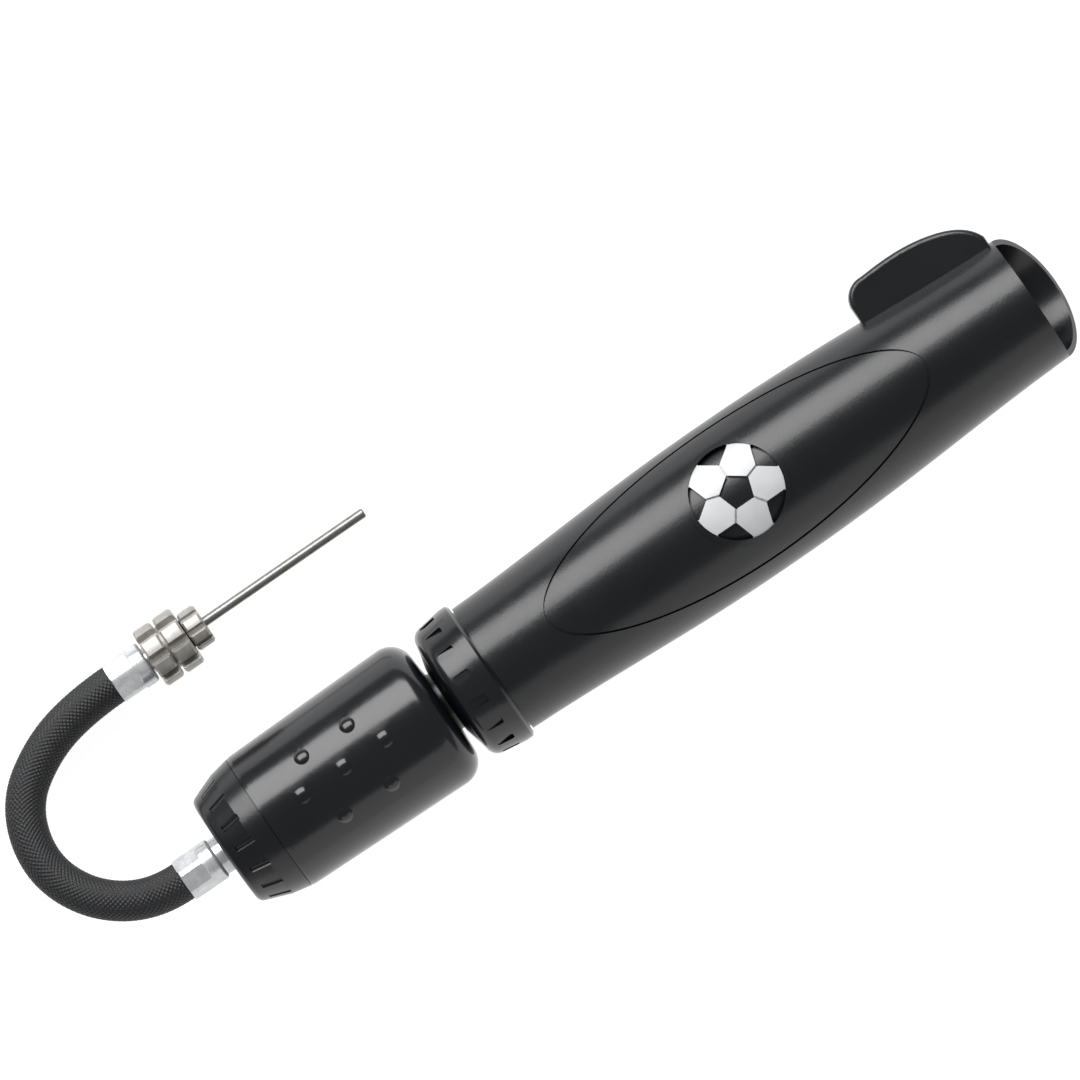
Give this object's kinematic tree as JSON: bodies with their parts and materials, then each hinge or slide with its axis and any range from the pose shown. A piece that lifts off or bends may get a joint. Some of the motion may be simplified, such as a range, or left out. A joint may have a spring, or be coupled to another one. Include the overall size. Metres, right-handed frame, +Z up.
{
  "type": "ball inflation pump",
  "caption": "Hand pump for sports balls: pull-out sleeve handle with thumb fin, dotted grip, short braided hose and a screw-in inflation needle.",
  "frame": {"origin": "middle of the pump body's footprint, on the surface it lies on, without the hose", "axes": "+X along the pump from the grip to the hooded end; +Y towards the thumb fin, the side the hose curls to; +Z up from the surface it lies on"},
  "size_m": [0.2438, 0.0653, 0.0346],
  "materials": {
    "handle_plastic": "satin moulded",
    "badge_white": "satin moulded",
    "barrel_aluminium": "drawn",
    "collar_plastic": "glossy moulded",
    "plug_plastic": "moulded",
    "seal_rubber": "matt",
    "rivet_plastic": "moulded",
    "guide_plastic": "moulded",
    "rod_plastic": "polished",
    "piston_plastic": "moulded",
    "grip_plastic": "glossy moulded",
    "cap_plastic": "satin moulded",
    "fitting_brass": "turned",
    "hose_braid": "braided cover over rubber",
    "ferrule_aluminium": "bright crimped",
    "barb_aluminium": "bright turned",
    "nut_nickel": "dull nickel plate",
    "gasket_rubber": "matt",
    "base_nickel": "dull nickel plate",
    "needle_steel": "drawn"
  },
  "bodies": {
    "grip": {"grip_shell": "grip_plastic", "grip_end_cap": "cap_plastic", "outlet_fitting": "fitting_brass", "outlet_gasket": "gasket_rubber", "rod_anchor": "plug_plastic", "piston_rod": "rod_plastic", "piston_body": "piston_plastic", "hose": "hose_braid", "hose_ferrule_pump": "ferrule_aluminium", "hose_ferrule_needle": "ferrule_aluminium", "hose_barb_pump": "barb_aluminium", "hose_barb_needle": "barb_aluminium"},
    "bush": {"rod_guide": "guide_plastic", "rod_seal": "seal_rubber", "stroke_bumper": "seal_rubber"},
    "handle": {"handle_shell": "handle_plastic", "badge_inlay": "badge_white", "cylinder_tube": "barrel_aluminium", "collar": "collar_plastic", "end_plug": "plug_plastic", "end_plug_ring": "seal_rubber", "inlet_rivet": "rivet_plastic"},
    "inlet_valve": {"inlet_disc": "seal_rubber"},
    "ring_valve": {"piston_ring": "seal_rubber"},
    "connector": {"connector_nut": "nut_nickel"},
    "gasket": {"needle_gasket": "gasket_rubber"},
    "needle": {"needle_base": "base_nickel", "needle_tube": "needle_steel"}
  },
  "joints": [
    {"name": "handle_stroke", "type": "slide", "parent": "grip", "child": "bush", "axis": [1, 0, 0], "range_m": [0, 0.099]},
    {"name": "handle_spin", "type": "hinge", "parent": "bush", "child": "handle", "pos_m": [0.01645, -0.00329, 0.01713], "axis": [1, 0, 0], "continuous": true},
    {"name": "inlet_lift", "type": "slide", "parent": "handle", "child": "inlet_valve", "axis": [-1, 0, 0], "range_m": [0, 0.0009]},
    {"name": "ring_float", "type": "slide", "parent": "grip", "child": "ring_valve", "axis": [-1, 0, 0], "range_m": [0, 0.0009]},
    {"name": "connector_spin", "type": "hinge", "parent": "grip", "child": "connector", "pos_m": [-0.08985, 0.03817, 0.00675], "axis": [1, 0, 0], "continuous": true},
    {"name": "needle_withdraw", "type": "slide", "parent": "connector", "child": "gasket", "axis": [1, 0, 0], "range_m": [0, 0.00556]},
    {"name": "needle_screw", "type": "hinge", "parent": "gasket", "child": "needle", "pos_m": [-0.07355, 0.03817, 0.00675], "axis": [-1, 0, 0], "range_deg": [0, 2520]}
  ],
  "couplings": [
    {"joint": "needle_screw", "follows": "needle_withdraw", "rad_per_m": 7913.3}
  ]
}
